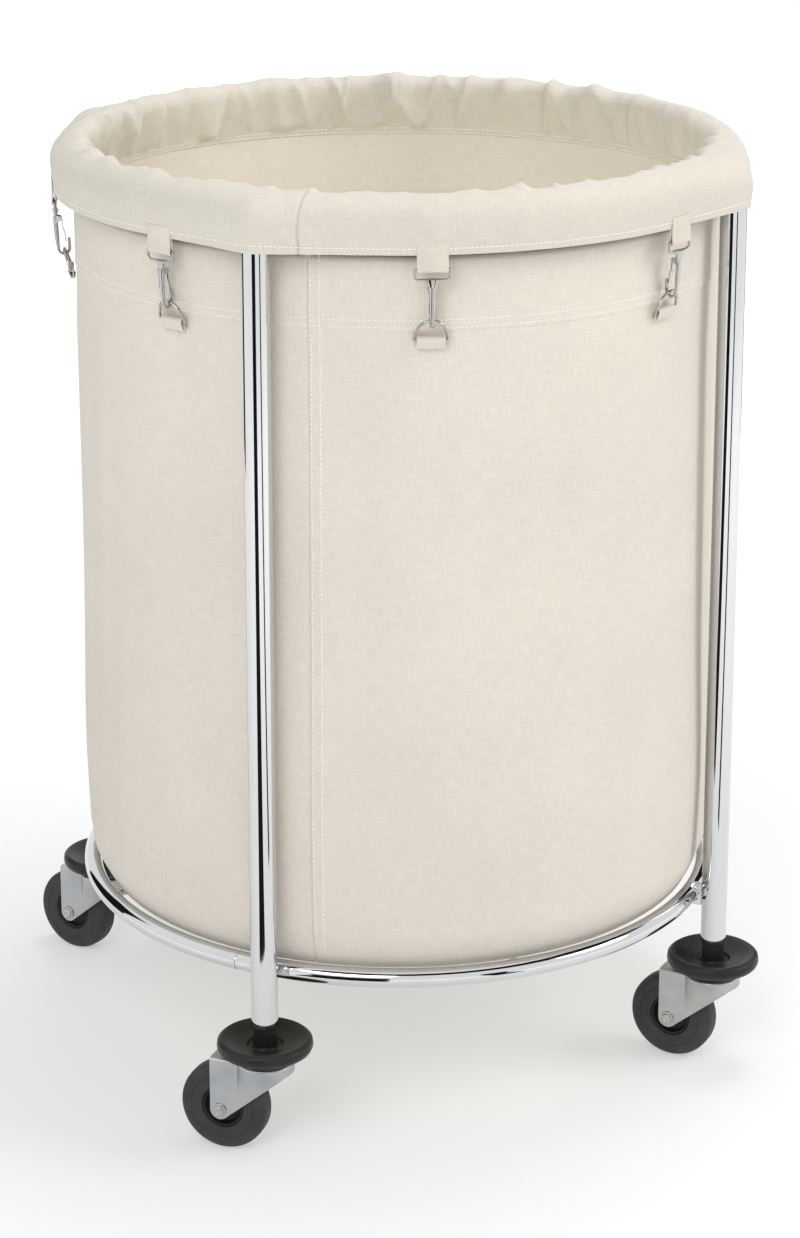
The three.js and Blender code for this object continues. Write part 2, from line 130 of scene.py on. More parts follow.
# Camera, in metres and degrees
CAMERA_AT = (-1.0562, -2.4689, 1.3023)
CAMERA_AZIMUTH = -23.19
CAMERA_PITCH = 15.35
CAMERA_LENS = 93.17
CAMERA_SHIFT_Y = -0.17

# Studio, in metres
FLOOR_HALF = 14
SKY_LIGHT = 0.50
BAG_LIGHT_AT = (0.06, -0.04, 0.45)


def around(angle, radius, height):
    """A point round the cart."""
    a = math.radians(angle)
    return Vector((radius * math.sin(a), -radius * math.cos(a), height))


def centre_of(node):
    low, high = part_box(node)
    return (low + high) / (2 * MM)


# ------------------------------------------------------------------ shapes
# A shape is (points, faces), in millimetres.


def filleted(corners, steps=5):
    """An outline of (a, b, radius) corners with each corner rounded by its radius."""
    line = []
    for i, (a, b, radius) in enumerate(corners):
        here = Vector((a, b))
        if radius == 0 or i in (0, len(corners) - 1):
            line.append((a, b))
            continue
        before = Vector(corners[i - 1][:2]) - here
        after = Vector(corners[i + 1][:2]) - here
        half = before.angle(after) / 2
        reach = min(radius / math.tan(half), before.length * 0.49, after.length * 0.49)
        start, end = here + before.normalized() * reach, here + after.normalized() * reach
        for k in range(steps + 1):
            t = k / steps
            point = start * (1 - t) ** 2 + here * 2 * t * (1 - t) + end * t**2
            line.append((point.x, point.y))
    return line


def turned(profile, sides, closed=False):
    """A profile of (radius, height) turned round Z. Points on the axis become single points."""
    points, faces, rings = [], [], []
    for radius, height in profile:
        if radius < 1e-6:
            rings.append([len(points)])
            points.append((0, 0, height))
            continue
        rings.append(list(range(len(points), len(points) + sides)))
        for k in range(sides):
            a = 2 * math.pi * k / sides
            points.append((radius * math.cos(a), radius * math.sin(a), height))
    pairs = list(zip(rings, rings[1:]))
    if closed:
        pairs.append((rings[-1], rings[0]))
    for low, high in pairs:
        for k in range(sides):
            j = (k + 1) % sides
            if len(low) == 1 and len(high) == 1:
                continue
            if len(low) == 1:
                faces.append((low[0], high[j], high[k]))
            elif len(high) == 1:
                faces.append((low[k], low[j], high[0]))
            else:
                faces.append((low[k], low[j], high[j], high[k]))
    return points, faces


def swept(path, radii, sides=12, closed=False, flat=1.0, across=None):
    """A round wire along a path. radii is one radius, or one for each point. flat scales the
    section along the wire's second axis, and across, where given, is the first axis."""
    path = [Vector(p) for p in path]
    count = len(path)
    if not hasattr(radii, "__len__"):
        radii = [radii] * count
    points, faces = [], []
    side = None
    for i, here in enumerate(path):
        ahead = path[(i + 1) % count] if closed or i < count - 1 else here
        behind = path[i - 1] if closed or i > 0 else here
        along = (ahead - behind).normalized()
        if across is not None:
            side = Vector(across)
        elif side is None:
            side = along.orthogonal()
        side = (side - along * side.dot(along)).normalized()
        up = along.cross(side)
        for k in range(sides):
            a = 2 * math.pi * k / sides
            points.append(here + radii[i] * (math.cos(a) * side + flat * math.sin(a) * up))
    for i in range(count if closed else count - 1):
        low, high = i * sides, (i + 1) % count * sides
        for k in range(sides):
            j = (k + 1) % sides
            faces.append((low + k, low + j, high + j, high + k))
    if not closed:
        faces.append(tuple(reversed(range(sides))))
        faces.append(tuple(range((count - 1) * sides, count * sides)))
    return points, faces


def ribbon(path, width, thick, width_axis=(1, 0, 0)):
    """Webbing: a flat section with soft edges, swept along a path."""
    half, edge = width / 2, thick / 2
    section = [(-half, -edge * 0.5), (-half + edge, -edge), (half - edge, -edge), (half, -edge * 0.5)]
    section += [(-a, -b) for a, b in section]
    path = [Vector(p) for p in path]
    axis = Vector(width_axis)
    points, faces = [], []
    for i, here in enumerate(path):
        along = path[min(i + 1, len(path) - 1)] - path[max(i - 1, 0)]
        normal = axis.cross(along).normalized()
        points += [here + axis * a + normal * b for a, b in section]
    n = len(section)
    for i in range(len(path) - 1):
        for k in range(n):
            j = (k + 1) % n
            faces.append((i * n + k, i * n + j, (i + 1) * n + j, (i + 1) * n + k))
    faces.append(tuple(reversed(range(n))))
    faces.append(tuple(range((len(path) - 1) * n, len(path) * n)))
    return points, faces


def smooth_path(points, steps=6):
    """A Catmull-Rom curve through the points."""
    points = [Vector(p) for p in points]
    ends = [points[0] * 2 - points[1], *points, points[-1] * 2 - points[-2]]
    line = []
    for a, b, c, d in zip(ends, ends[1:], ends[2:], ends[3:]):
        for k in range(steps):
            t = k / steps
            square = (a * 2 - b * 5 + c * 4 - d) * t**2
            cube = (b * 3 - a - c * 3 + d) * t**3
            line.append((b * 2 + (c - a) * t + square + cube) / 2)
    return line + [points[-1]]


def block(size_x, size_y, size_z):
    """A box about the origin, for a bevel to soften."""
    x, y, z = size_x / 2, size_y / 2, size_z / 2
    points = [(i * x, j * y, k * z) for k in (-1, 1) for j in (-1, 1) for i in (-1, 1)]
    faces = [(0, 2, 3, 1), (4, 5, 7, 6), (0, 1, 5, 4), (2, 6, 7, 3), (0, 4, 6, 2), (1, 3, 7, 5)]
    return points, faces


def moved(shape, matrix):
    return [matrix @ Vector(p) for p in shape[0]], shape[1]


def joined(shapes):
    points, faces = [], []
    for some, their in shapes:
        base = len(points)
        points += some
        faces += [tuple(base + i for i in face) for face in their]
    return points, faces


def shift(x, y, z):
    return Matrix.Translation((x, y, z))


def turn(degrees, axis):
    return Matrix.Rotation(math.radians(degrees), 4, axis)


# ------------------------------------------------------------------ pieces


def piece(name, shape, look, body, stands_for=(), place=None, crease=38, bevel=0, uv=None):
    """A mesh object that rides on a body and takes a finish. bevel rounds its hard edges."""
    points, faces = shape
    mesh = bpy.data.meshes.new(name)
    mesh.from_pydata([Vector(p) * MM for p in points], [], faces)
    if place is not None:
        scaled = place.copy()
        scaled.translation *= MM
        mesh.transform(scaled)
    mesh.update()
    if uv is not None:
        layer = mesh.uv_layers.new(name="cloth")
        for polygon in mesh.polygons:
            for loop, pair in zip(polygon.loop_indices, uv[polygon.index]):
                layer.data[loop].uv = pair
    mesh.shade_smooth()
    mesh.set_sharp_from_angle(angle=math.radians(crease))
    mesh.materials.append(look)
    made = bpy.data.objects.new(name, mesh)
    bpy.context.scene.collection.objects.link(made)
    if bevel:
        soft = made.modifiers.new("soft_edges", "BEVEL")
        soft.width = bevel * MM
        soft.segments = 3
        soft.limit_method = "ANGLE"
        soft.angle_limit = math.radians(crease)
        soft.harden_normals = True
    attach(made, body)
    if stands_for:
        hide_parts(*stands_for)
    return made


def cloth_grid(columns, rows, place_at, uv_at):
    """A grid of cloth that closes round the cart. place_at and uv_at take a column and row
    as fractions."""
    points = [place_at(c / columns, r / rows) for r in range(rows + 1) for c in range(columns)]
    faces, uvs = [], []
    for r in range(rows):
        low, high = r * columns, (r + 1) * columns
        for c in range(columns):
            j = (c + 1) % columns
            faces.append((low + c, low + j, high + j, high + c))
            corners = ((c, r), (c + 1, r), (c + 1, r + 1), (c, r + 1))
            uvs.append([uv_at(a / columns, b / rows) for a, b in corners])
    return (points, faces), uvs


def thicken(made, thickness, offset=-1, even=True):
    """Give a surface its thickness: inwards at offset -1, outwards at 1, both ways at 0."""
    sheet = made.modifiers.new("cloth_thickness", "SOLIDIFY")
    sheet.thickness = thickness * MM
    sheet.offset = offset
    sheet.use_even_offset = even


# ------------------------------------------------------------------ materials


class Look:
    """A node material with a Principled shader, and short ways to add nodes to it."""

    def __init__(self, name, **fixed):
        self.material = bpy.data.materials.new(name)
        self.material.use_nodes = True
        self.tree = self.material.node_tree
        self.shader = self.tree.nodes["Principled BSDF"]
        for socket, value in fixed.items():
            self.shader.inputs[socket.replace("_", " ")].default_value = value

    def node(self, kind, **settings):
        made = self.tree.nodes.new("ShaderNode" + kind)
        for key, value in settings.items():
            setattr(made, key, value)
        return made

    def link(self, source, target):
        self.tree.links.new(source, target)

    def position(self, scale=(1, 1, 1)):
        """Object coordinates, in metres times scale."""
        mapping = self.node("Mapping")
        mapping.inputs["Scale"].default_value = scale
        self.link(self.node("TexCoord").outputs["Object"], mapping.inputs["Vector"])
        return mapping.outputs["Vector"]

    def cloth_uv(self, scale=(1, 1, 1)):
        """The cloth's own coordinates, in metres times scale."""
        mapping = self.node("Mapping")
        mapping.inputs["Scale"].default_value = scale
        self.link(self.node("UVMap", uv_map="cloth").outputs["UV"], mapping.inputs["Vector"])
        return mapping.outputs["Vector"]

    def noise(self, vector, scale=1.0, detail=3.0, roughness=0.55):
        made = self.node("TexNoise")
        made.inputs["Scale"].default_value = scale
        made.inputs["Detail"].default_value = detail
        made.inputs["Roughness"].default_value = roughness
        self.link(vector, made.inputs["Vector"])
        return made.outputs["Fac"]

    def math(self, operation, first, second=0.0):
        made = self.node("Math", operation=operation)
        for socket, value in zip(made.inputs, (first, second)):
            if isinstance(value, (int, float)):
                socket.default_value = value
            else:
                self.link(value, socket)
        return made.outputs[0]

    def ramp(self, factor, stops):
        """stops are (place, value or colour)."""
        made = self.node("ValToRGB")
        elements = made.color_ramp.elements
        while len(elements) < len(stops):
            elements.new(0.5)
        for element, (place, value) in zip(elements, stops):
            element.position = place
            element.color = (*value, 1) if hasattr(value, "__len__") else (value, value, value, 1)
        self.link(factor, made.inputs["Fac"])
        return made.outputs["Color"]

    def colour(self, source):
        self.link(source, self.shader.inputs["Base Color"])

    def rough(self, factor, low, high):
        made = self.node("MapRange")
        made.inputs["To Min"].default_value = low
        made.inputs["To Max"].default_value = high
        self.link(factor, made.inputs["Value"])
        self.link(made.outputs["Result"], self.shader.inputs["Roughness"])

    def bump(self, height, distance, strength=1.0, under=None):
        made = self.node("Bump")
        made.inputs["Distance"].default_value = distance * MM
        made.inputs["Strength"].default_value = strength
        self.link(height, made.inputs["Height"])
        if under is not None:
            self.link(under, made.inputs["Normal"])
        self.link(made.outputs["Normal"], self.shader.inputs["Normal"])
        return made.outputs["Normal"]


def canvas_look(name, tint, pitch=0.9, slub=1.0):
    """Plain woven cotton with thick and thin threads both ways."""
    look = Look(name, Metallic=0.0, Sheen_Weight=0.12, Sheen_Roughness=0.5, Specular_IOR_Level=0.25)
    uv = look.node("SeparateXYZ")
    look.link(look.cloth_uv(), uv.inputs[0])
    turns = 2 * math.pi / (pitch * MM)
    wobble = look.noise(look.cloth_uv((90, 90, 90)), 1.0, 1.0)
    warp = look.math("SINE", look.math("ADD", look.math("MULTIPLY", uv.outputs[0], turns), wobble))
    weft = look.math("SINE", look.math("ADD", look.math("MULTIPLY", uv.outputs[1], turns), wobble))
    weave = look.math("ADD", look.math("MULTIPLY", look.math("MULTIPLY", warp, weft), 0.25), 0.5)
    upright = look.noise(look.cloth_uv((720, 75, 1)), 1.0, 3.0, 0.62)
    level = look.noise(look.cloth_uv((66, 760, 1)), 1.0, 3.0, 0.62)
    slubs = look.math("ADD", look.math("MULTIPLY", upright, 0.5), look.math("MULTIPLY", level, 0.5))
    patches = look.noise(look.position((1, 1, 1)), 9.0, 3.0)
    threads = look.math("ADD", look.math("MULTIPLY", slubs, slub), look.math("MULTIPLY", weave, 0.22))
    shade = look.math("ADD", threads, look.math("MULTIPLY", patches, 0.25))
    dark = [c * 0.865 for c in tint]
    light = [min(1.0, c * 1.06) for c in tint]
    look.colour(look.ramp(shade, ((0.5, dark), (0.9, light))))
    look.rough(slubs, 0.82, 0.98)
    look.bump(threads, 0.35, 0.7)
    return look.material


def webbing_look():
    """Cotton webbing: ribs across a narrow strap."""
    look = Look("webbing", Metallic=0.0, Sheen_Weight=0.15, Sheen_Roughness=0.5, Specular_IOR_Level=0.25)
    fine = look.noise(look.position((1, 1, 1)), 900.0, 2.0)
    broad = look.noise(look.position((1, 1, 1)), 60.0, 2.0)
    mixed = look.math("ADD", look.math("MULTIPLY", fine, 0.7), look.math("MULTIPLY", broad, 0.3))
    look.colour(look.ramp(mixed, ((0.3, (0.58, 0.545, 0.465)), (0.75, (0.74, 0.705, 0.62)))))
    look.rough(fine, 0.85, 0.97)
    look.bump(mixed, 0.25, 0.8)
    return look.material


def thread_look():
    look = Look("thread", Metallic=0.0, Sheen_Weight=0.2, Specular_IOR_Level=0.4)
    twist = look.noise(look.position((1, 1, 1)), 1500.0, 1.0)
    look.colour(look.ramp(twist, ((0.3, (0.84, 0.82, 0.75)), (0.7, (0.97, 0.96, 0.92)))))
    look.rough(twist, 0.55, 0.8)
    return look.material


def chrome_look(name, tint, low, high, orange_peel=0.004):
    """Bright plate over tube: nearly a mirror, with faint haze and handling marks."""
    look = Look(name, Metallic=1.0)
    haze = look.noise(look.position((1, 1, 0.25)), 35.0, 4.0)
    marks = look.noise(look.position((1, 1, 1)), 260.0, 3.0)
    mixed = look.math("ADD", look.math("MULTIPLY", haze, 0.7), look.math("MULTIPLY", marks, 0.3))
    dull = [c * 0.95 for c in tint]
    look.colour(look.ramp(mixed, ((0.35, dull), (0.6, tint))))
    look.rough(mixed, low, high)
    look.bump(marks, orange_peel, 0.5)
    return look.material


def zinc_look():
    """Bright zinc on pressed steel: soft spangle with faint blue and yellow passivation."""
    look = Look("zinc_plate", Metallic=1.0)
    spangle = look.noise(look.position((1, 1, 1)), 240.0, 3.0, 0.6)
    drift = look.noise(look.position((1, 1, 1)), 34.0, 2.0)
    stops = ((0.3, (0.38, 0.405, 0.43)), (0.5, (0.45, 0.465, 0.475)), (0.68, (0.50, 0.495, 0.465)))
    look.colour(look.ramp(drift, stops))
    look.rough(spangle, 0.22, 0.46)
    look.bump(spangle, 0.03, 0.6)
    return look.material


def rubber_look(name, dark, light, rough_low, rough_high, grain=700.0):
    look = Look(name, Metallic=0.0, Specular_IOR_Level=0.26)
    fine = look.noise(look.position((1, 1, 1)), grain, 3.0)
    dust = look.noise(look.position((1, 1, 1)), 45.0, 4.0, 0.6)
    mixed = look.math("ADD", look.math("MULTIPLY", fine, 0.35), look.math("MULTIPLY", dust, 0.65))
    look.colour(look.ramp(mixed, ((0.35, dark), (0.68, light))))
    look.rough(mixed, rough_low, rough_high)
    look.bump(fine, 0.06, 0.5)
    return look.material


# Light given off by the floor, by distance from the cart in units of 5 m.
FLOOR_GLOW = ((0.05, 0.40), (0.13, 0.47), (0.30, 0.66), (0.55, 0.82))


def floor_look():
    """White paper with light of its own, more of it far off, so that shadows stay pale."""
    look = Look("studio_floor", Metallic=0.0, Specular_IOR_Level=0.0, Emission_Color=(1, 1, 1, 1))
    away = look.node("VectorMath", operation="LENGTH")
    look.link(look.position((0.2, 0.2, 0)), away.inputs[0])
    look.link(look.ramp(away.outputs["Value"], FLOOR_GLOW), look.shader.inputs["Emission Strength"])
    mottle = look.noise(look.position((1, 1, 1)), 1.5, 2.0)
    look.colour(look.ramp(mottle, ((0.3, (0.53, 0.53, 0.535)), (0.7, (0.55, 0.55, 0.555)))))
    look.rough(mottle, 0.85, 0.95)
    return look.material


CANVAS = canvas_look("canvas", (0.715, 0.67, 0.59))
# The cuff is the same canvas as the wall with a darker tint: painted shade that holds down the stronger
# light falling on its upturned roll.
CUFF_CANVAS_PAINTED_SHADE = canvas_look("cuff_canvas_painted_shade", (0.63, 0.595, 0.52), slub=1.15)
FLOOR_CANVAS = canvas_look("floor_canvas", (0.74, 0.69, 0.57))
WEBBING = webbing_look()
THREAD = thread_look()
CHROME = chrome_look("chrome", (0.665, 0.67, 0.675), 0.03, 0.09)
NICKEL = chrome_look("nickel", (0.50, 0.49, 0.47), 0.05, 0.14, 0.01)
ZINC = zinc_look()
BUMPER = rubber_look("bumper_rubber", (0.011, 0.0105, 0.0105), (0.027, 0.025, 0.0245), 0.30, 0.46)
TYRE = rubber_look("tyre_rubber", (0.031, 0.030, 0.034), (0.055, 0.053, 0.059), 0.5, 0.68)
HUB = rubber_look("hub_plastic", (0.008, 0.008, 0.009), (0.022, 0.021, 0.022), 0.35, 0.55, 900.0)


# ------------------------------------------------------------------ frame


def ring(name, z, lug_drop):
    """A ring tube with its butt weld and a lug welded on towards each post."""
    circle = [around(360 * k / 256, RING_R, z) for k in range(256)]
    shapes = [swept(circle, RING_TUBE_R, 28, closed=True)]
    lugs, welds = [], []
    for corner in CORNERS:
        post = centre_of(f"post_{corner}")
        angle = math.degrees(math.atan2(post.x, -post.y))
        reach = post.xy.length - POST_R - RING_R - 0.3
        place = turn(angle, "Z") @ shift(0, -RING_R - reach / 2, z - lug_drop)
        lugs.append(moved(block(LUG_THICK, reach, LUG_HEIGHT), place))
        for side in (-1, 1):
            bead = [(side * (LUG_THICK / 2), -RING_TUBE_R * math.cos(math.radians(a)),
                     RING_TUBE_R * math.sin(math.radians(a))) for a in range(-56, 57, 8)]
            radii = [0.5 + 0.25 * (k % 2) + 0.4 * math.sin(math.pi * k / 14) for k in range(len(bead))]
            welds.append(moved(swept(bead, radii, 8), turn(angle, "Z") @ shift(0, -RING_R, z)))
    seam = [(0, RING_TUBE_R * math.cos(a), RING_TUBE_R * math.sin(a))
            for a in (2 * math.pi * k / 32 for k in range(32))]
    shapes.append(moved(swept(seam, 0.28, 6, closed=True), turn(-52, "Z") @ shift(0, -RING_R, z)))
    piece(name + "_tube", joined(shapes), CHROME, ROOT, (name,))
    piece(name + "_lugs", joined(lugs), CHROME, ROOT, crease=60, bevel=0.6)
    piece(name + "_welds", joined(welds), CHROME, ROOT)


def rods():
    for name, angle in (("base_rod_lower", 0), ("base_rod_upper", 90)):
        low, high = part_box(name)
        half = (high - low).length / (2 * MM) - 0.6
        z = centre_of(name).z
        side = filleted([(0, -half, 0), (ROD_R, -half, 1), (ROD_R, half, 1), (0, half, 0)])
        profile = [(0, -half), *side[1:-1], (0, half)]
        lying = turn(angle, "Z") @ shift(0, 0, z) @ turn(90, "X")
        piece(name + "_bar", turned(profile, 24), CHROME, ROOT, (name,), lying)


def post(corner):
    node = f"post_{corner}"
    low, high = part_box(node)
    bottom, top = low.z / MM, high.z / MM
    inner = POST_R - POST_WALL
    outline = [
        (inner, bottom + 0.5, 0),
        (inner, bottom + 0.4, 0),
        (inner + 0.4, bottom, 0.3),
        (POST_R - 0.5, bottom, 0.3),
        (POST_R, bottom + 0.6, 0.4),
        (POST_R, top, 4),
        (0, top, 0),
    ]
    profile = [(inner, bottom + 12), *filleted(outline)]
    place = shift(*centre_of(node).xy, 0)
    piece(f"post_tube_{corner}", turned(profile, 64), CHROME, ROOT, (node,), place)


# ------------------------------------------------------------------ casters


def bumper_profile():
    """A dished pad with a rolled rim, a small ridge round the pit, and the neck."""
    return filleted(
        [
            (STEM_R + 0.6, BUMPER_BOTTOM, 0),
            (32, BUMPER_BOTTOM, 3),
            (38.2, BUMPER_BOTTOM + 2.4, 4),
            (BUMPER_R, BUMPER_BOTTOM + 6.4, 4),
            (39.3, BUMPER_TOP - 2.2, 2.4),
            (36.2, BUMPER_TOP + 0.2, 2),
            (32.5, BUMPER_TOP - 0.7, 3),
            (24, BUMPER_TOP - 3.8, 10),
            (16.4, BUMPER_TOP - 5.6, 2),
            (15.2, BUMPER_TOP - 5.6, 0.8),
            (13.8, BUMPER_TOP - 8.2, 2),
            (NECK_R + 1.2, BUMPER_TOP - 9.2, 1.6),
            (NECK_R, BUMPER_TOP - 6.4, 2.4),
            (NECK_R, NECK_TOP, 0),
            (STEM_R + 0.6, NECK_TOP, 0),
        ],
        6,
    )


def race_profile():
    """The upper race: two rolled lips with the ball groove between them."""
    low = FORK_TOP + 0.3
    return filleted(
        [
            (5.6, low, 0),
            (RACE_R - 2.5, low, 0),
            (RACE_R - 0.6, low + 0.5, 0.6),
            (RACE_R, low + 1.7, 0.7),
            (RACE_R - 0.7, low + 2.7, 0.6),
            (RACE_R - 0.7, low + 3.3, 0.5),
            (RACE_R - 0.1, low + 4.4, 0.8),
            (RACE_R - 1.4, RACE_TOP, 1),
            (STEM_R, RACE_TOP, 0),
            (STEM_R, NECK_TOP + 4, 1.2),
            (0, NECK_TOP + 5, 0),
        ],
        5,
    )


def fork_shape(lead):
    """The fork as one pressed sheet: a plate whose rim bends down into two legs.
    u runs the way the caster trails, v across it."""
    slope_cos = 0.78
    slope_u = lead - FORK_END_R * slope_cos
    slope_z = WHEEL_R - FORK_END_R * math.sqrt(1 - slope_cos**2)
    nose_u, nose_z = -21, 74.4
    disc_start = math.sqrt(FORK_DISC_R**2 - FORK_HALF**2)

    def bottom(u):
        if u >= slope_u:
            return WHEEL_R - math.sqrt(max(0, FORK_END_R**2 - (u - lead) ** 2))
        t = (slope_u - u) / (slope_u - nose_u)
        return slope_z + min(1, t) * (nose_z - slope_z) + max(0, t - 1) * 12

    rim = []
    for k in range(13):
        u = lead + FORK_END_R * math.cos(math.pi * 0.5 * k / 12)
        rim.append((u, FORK_HALF, 0, 1))
    for k in range(1, 7):
        rim.append((lead + (disc_start - lead) * k / 6, FORK_HALF, 0, 1))
    first = math.atan2(FORK_HALF, disc_start)
    for k in range(1, 41):
        a = first + (math.pi - first) * k / 40
        rim.append((FORK_DISC_R * math.cos(a), FORK_DISC_R * math.sin(a), math.cos(a), math.sin(a)))
    rim += [(u, -v, nu, -nv) for u, v, nu, nv in reversed(rim[:-1])]

    rows = []
    for u, v, nu, nv in rim:
        side = 1 if v > 0 else -1
        column = []
        for k in range(7):
            a = math.pi / 2 * (1 - k / 6)
            inset = FORK_BEND_R * (1 - math.cos(a))
            column.append((u - nu * inset, v - nv * inset, FORK_TOP - FORK_BEND_R * (1 - math.sin(a))))
        start_z, end_z = FORK_TOP - FORK_BEND_R, bottom(u)
        foot_v = side * min(FORK_HALF, abs(v))
        for k in range(1, 13):
            t = k / 12
            ease = t**1.15
            column.append((u, v + (foot_v - v) * ease, start_z + (end_z - start_z) * t))
        rows.append(column)
    height = len(rows[0])
    points = [p for column in rows for p in column]
    faces = []
    for here in range(0, (len(rows) - 1) * height, height):
        there = here + height
        for k in range(height - 1):
            faces.append((here + k, here + k + 1, there + k + 1, there + k))
    faces.append(tuple(i * height for i in range(len(rows))))
    return points, faces


def tyre_profile():
    """Half the tread, the shoulder and the sidewall with its moulded ring, then mirrored."""
    seat = HUB_R + 0.3
    side = [
        (seat, WHEEL_HALF - 2.2, 0),
        (seat + 0.6, WHEEL_HALF - 1.0, 0.5),
        (22.5, WHEEL_HALF - 0.5, 2),
        (26.6, WHEEL_HALF, 0.5),
        (27.1, WHEEL_HALF - 0.55, 0.3),
        (27.8, WHEEL_HALF - 0.55, 0.3),
        (28.3, WHEEL_HALF, 0.5),
        (33.0, WHEEL_HALF - 0.4, 2),
        (36.6, WHEEL_HALF - 2.6, 2.4),
        (WHEEL_R - 0.2, WHEEL_HALF - 5.6, 3),
        (WHEEL_R, 0, 0),
    ]
    half = filleted(side, 5)
    return half + [(r, -h) for r, h in reversed(half[:-1])]


def hub_profile():
    """A rim round a deep recess, a web, and the bearing boss."""
    side = [
        (4.3, 12.6, 0),
        (6.2, 12.6, 0.5),
        (7, 11.6, 0.5),
        (7, 4.4, 1.5),
        (HUB_R - 3.4, 3.6, 2),
        (HUB_R - 1.6, 8.6, 0.6),
        (HUB_R, 8.9, 0.4),
        (HUB_R, 0, 0),
    ]
    half = filleted(side, 5)
    return half + [(r, -h) for r, h in reversed(half[:-1])]


def hexagon(radius, low, high):
    """A nut or bolt head with its corners chamfered."""
    return turned([(0, low), (radius, low), (radius, high - 0.7), (radius * 0.9, high), (0, high)], 6)


def axle_bolt_shape():
    """Along +Z: a domed head on a washer face, the shank, and a nut with the thread's end."""
    face = FORK_HALF + 0.3
    head = filleted(
        [(0, face, 0), (5.9, face, 0), (5.9, face + 0.9, 0.3), (4.6, face + 1.1, 0.3),
         (4.4, face + 2.9, 1), (2.6, face + 3.4, 0.5), (2.2, face + 3.0, 0.4), (0, face + 2.9, 0)], 4)
    shank = [(0, -face - 6), (2.6, -face - 6), (3.1, -face - 5.4), (3.1, -face),
             (3.9, -face + 0.2), (3.9, face), (0, face)]
    nut = moved(hexagon(6.6, face, face + 4.2), turn(180, "X"))
    washer = turned([(0, face), (7.4, face), (7.4, face + 0.8), (0, face + 0.8)], 40)
    washer = moved(washer, turn(180, "X"))
    return joined([turned(head, 32), turned(shank, 20), nut, washer])


def caster(corner):
    at = centre_of(f"post_{corner}")
    place = shift(at.x, at.y, 0)
    piece(f"bumper_pad_{corner}", turned(bumper_profile(), 96), BUMPER, ROOT,
          (f"bumper_{corner}",), place)
    piece(f"race_{corner}", turned(race_profile(), 72), ZINC, ROOT,
          (f"caster_stem_{corner}",), place)
    wheel = Vector(joints[f"wheel_spin_{corner}"]["pos_m"]) / MM
    trail = Vector((wheel.x - at.x, wheel.y - at.y))
    heading = math.degrees(math.atan2(trail.y, trail.x))
    turned_fork = place @ turn(heading, "Z")
    fork_body, wheel_body = f"fork_{corner}", f"wheel_{corner}"
    fork = piece(f"fork_sheet_{corner}", fork_shape(trail.length), ZINC, fork_body,
                 (f"fork_{corner}",), turned_fork, crease=32)
    thicken(fork, FORK_SHEET)
    edges = fork.modifiers.new("soft_edges", "BEVEL")
    edges.width = 0.5 * MM
    edges.segments = 2
    edges.limit_method = "ANGLE"
    edges.angle_limit = math.radians(50)
    axle = shift(*wheel) @ turn(heading, "Z") @ turn(-90, "X")
    piece(f"axle_{corner}", axle_bolt_shape(), ZINC, fork_body,
          (f"axle_bolt_{corner}",), axle, crease=30)
    piece(f"tyre_rubber_{corner}", turned(tyre_profile(), 112, closed=True), TYRE, wheel_body,
          (f"tyre_{corner}",), axle)
    piece(f"hub_moulding_{corner}", turned(hub_profile(), 80, closed=True), HUB, wheel_body,
          (f"hub_{corner}",), axle)


# ------------------------------------------------------------------ liner


def wander(angle, z, scale, seed):
    """Smooth noise that closes round the cart."""
    a = math.radians(angle)
    return noise.noise(Vector((scale * math.sin(a), -scale * math.cos(a), z + seed)))


def step(t, low, high):
    t = min(1, max(0, (t - low) / (high - low)))
    return t * t * (3 - 2 * t)


def wall_radius(angle, z):
    """The hung wall: taut at its band, a little full low down, with soft upright folds."""
    foot = step(z, LINER_BOTTOM, 196)
    radius = LINER_EDGE_R + (LINER_R - LINER_EDGE_R) * math.sqrt(foot)
    free = foot * (1 - step(z, 640, 700))
    belly = math.exp(-(((z - 265) / 95) ** 2))
    radius += free * belly * (3.4 + 2.2 * wander(angle, 0, 1.6, 3))
    radius += free * 3.8 * wander(angle, z / 420, 3.2, 11)
    radius += free * 1.9 * wander(angle, z / 260, 9.0, 29)
    fold = (angle - SEAM_ANGLE + 4 + 1.2 * math.sin(z / 130)) / 1.8
    radius -= free * 2.0 * math.exp(-fold * fold)
    slack = (angle + 61 - 3 * math.sin(z / 170)) / 5.5
    radius -= free * 3.2 * math.exp(-slack * slack)
    seam = (angle - SEAM_ANGLE) * math.radians(1) * LINER_R
    radius -= 1.3 * math.exp(-((seam / 0.9) ** 2))
    radius += 0.55 * step(seam, 0, 1.5) * (1 - step(seam, 12, 13.5))
    radius += BAND_STEP * step(z, BAND_BOTTOM - 1.2, BAND_BOTTOM)
    for line in (BAND_BOTTOM + 2.6, BAND_BOTTOM + 8.4):
        radius -= 0.35 * math.exp(-(((z - line) / 1.1) ** 2))
    return radius


def angle_of(fraction):
    """Columns start at the back, so that the front seam is away from the join."""
    return -180 + 360 * fraction


def column_angle(fraction):
    """Columns stand close together at the front seam."""
    angle = angle_of(fraction)
    u = (angle - SEAM_ANGLE) / 6
    if abs(u) >= 1:
        return angle
    return SEAM_ANGLE + 6 * (u - 0.75 * math.sin(math.pi * u) / math.pi)


def wall_heights():
    """Rows are close where the wall turns in at its foot, at the band and at its hem."""
    heights = [LINER_BOTTOM + k * 1.6 for k in range(23)]
    heights += [200 + k * 12.5 for k in range(40)]
    heights += [700 + k * 1.0 for k in range(15)]
    heights += [717 + k * 5 for k in range(10)]
    return heights


